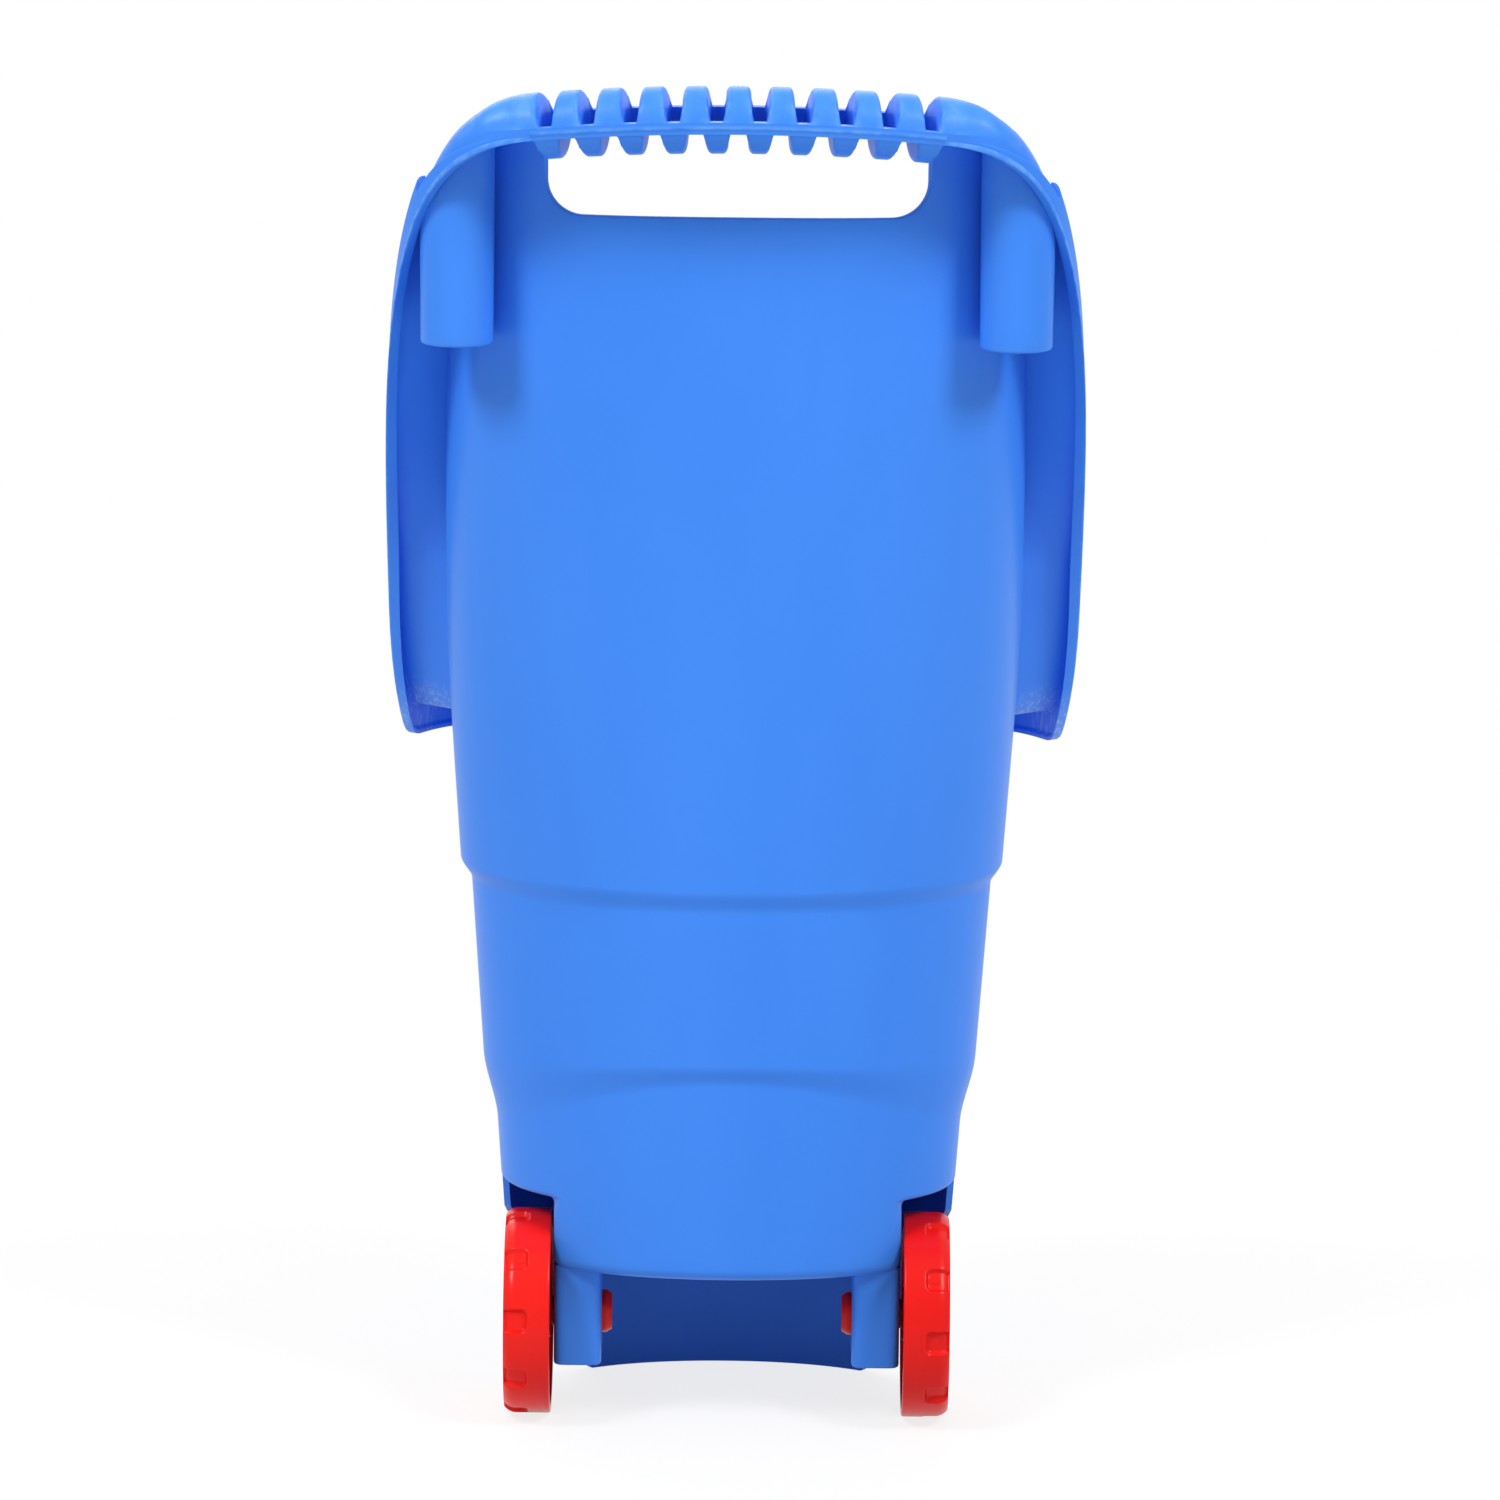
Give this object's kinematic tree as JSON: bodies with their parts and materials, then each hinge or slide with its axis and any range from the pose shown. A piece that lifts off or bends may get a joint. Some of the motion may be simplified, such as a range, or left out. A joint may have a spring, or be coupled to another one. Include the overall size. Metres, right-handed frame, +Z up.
{
  "type": "children's trolley",
  "caption": "Tall moulded toy trolley: a tapered tub with a slanted open mouth, a finger-ribbed handle across the back, tool sockets, a front foot and wheels on snap-in pins.",
  "frame": {"origin": "on the ground under the middle of the trolley's own width and depth", "axes": "+Z up, +Y towards the trolley's front, away from the handle, +X to the right as the user behind it sees it"},
  "size_m": [0.2836, 0.2198, 0.5596],
  "materials": {
    "blue_plastic": "satin moulded polypropylene with fine scuffs along the rim",
    "red_plastic": "glossy moulded polypropylene"
  },
  "bodies": {
    "body": {"tub": "blue_plastic", "side_rim": "blue_plastic", "shoulder_left": "blue_plastic", "shoulder_right": "blue_plastic", "handle_grip": "blue_plastic", "tool_socket_left": "blue_plastic", "tool_socket_right": "blue_plastic", "front_foot": "blue_plastic", "axle_post_left": "blue_plastic", "axle_post_right": "blue_plastic"},
    "left_wheel": {"wheel_left": "red_plastic", "axle_pin_left": "red_plastic"},
    "right_wheel": {"wheel_right": "red_plastic", "axle_pin_right": "red_plastic"}
  },
  "joints": [
    {"name": "left_wheel_spin", "type": "hinge", "parent": "body", "child": "left_wheel", "pos_m": [-0.08265, -0.0109, 0.0422], "axis": [1, 0, 0], "continuous": true},
    {"name": "right_wheel_spin", "type": "hinge", "parent": "body", "child": "right_wheel", "pos_m": [0.08265, -0.0109, 0.0422], "axis": [1, 0, 0], "continuous": true}
  ]
}
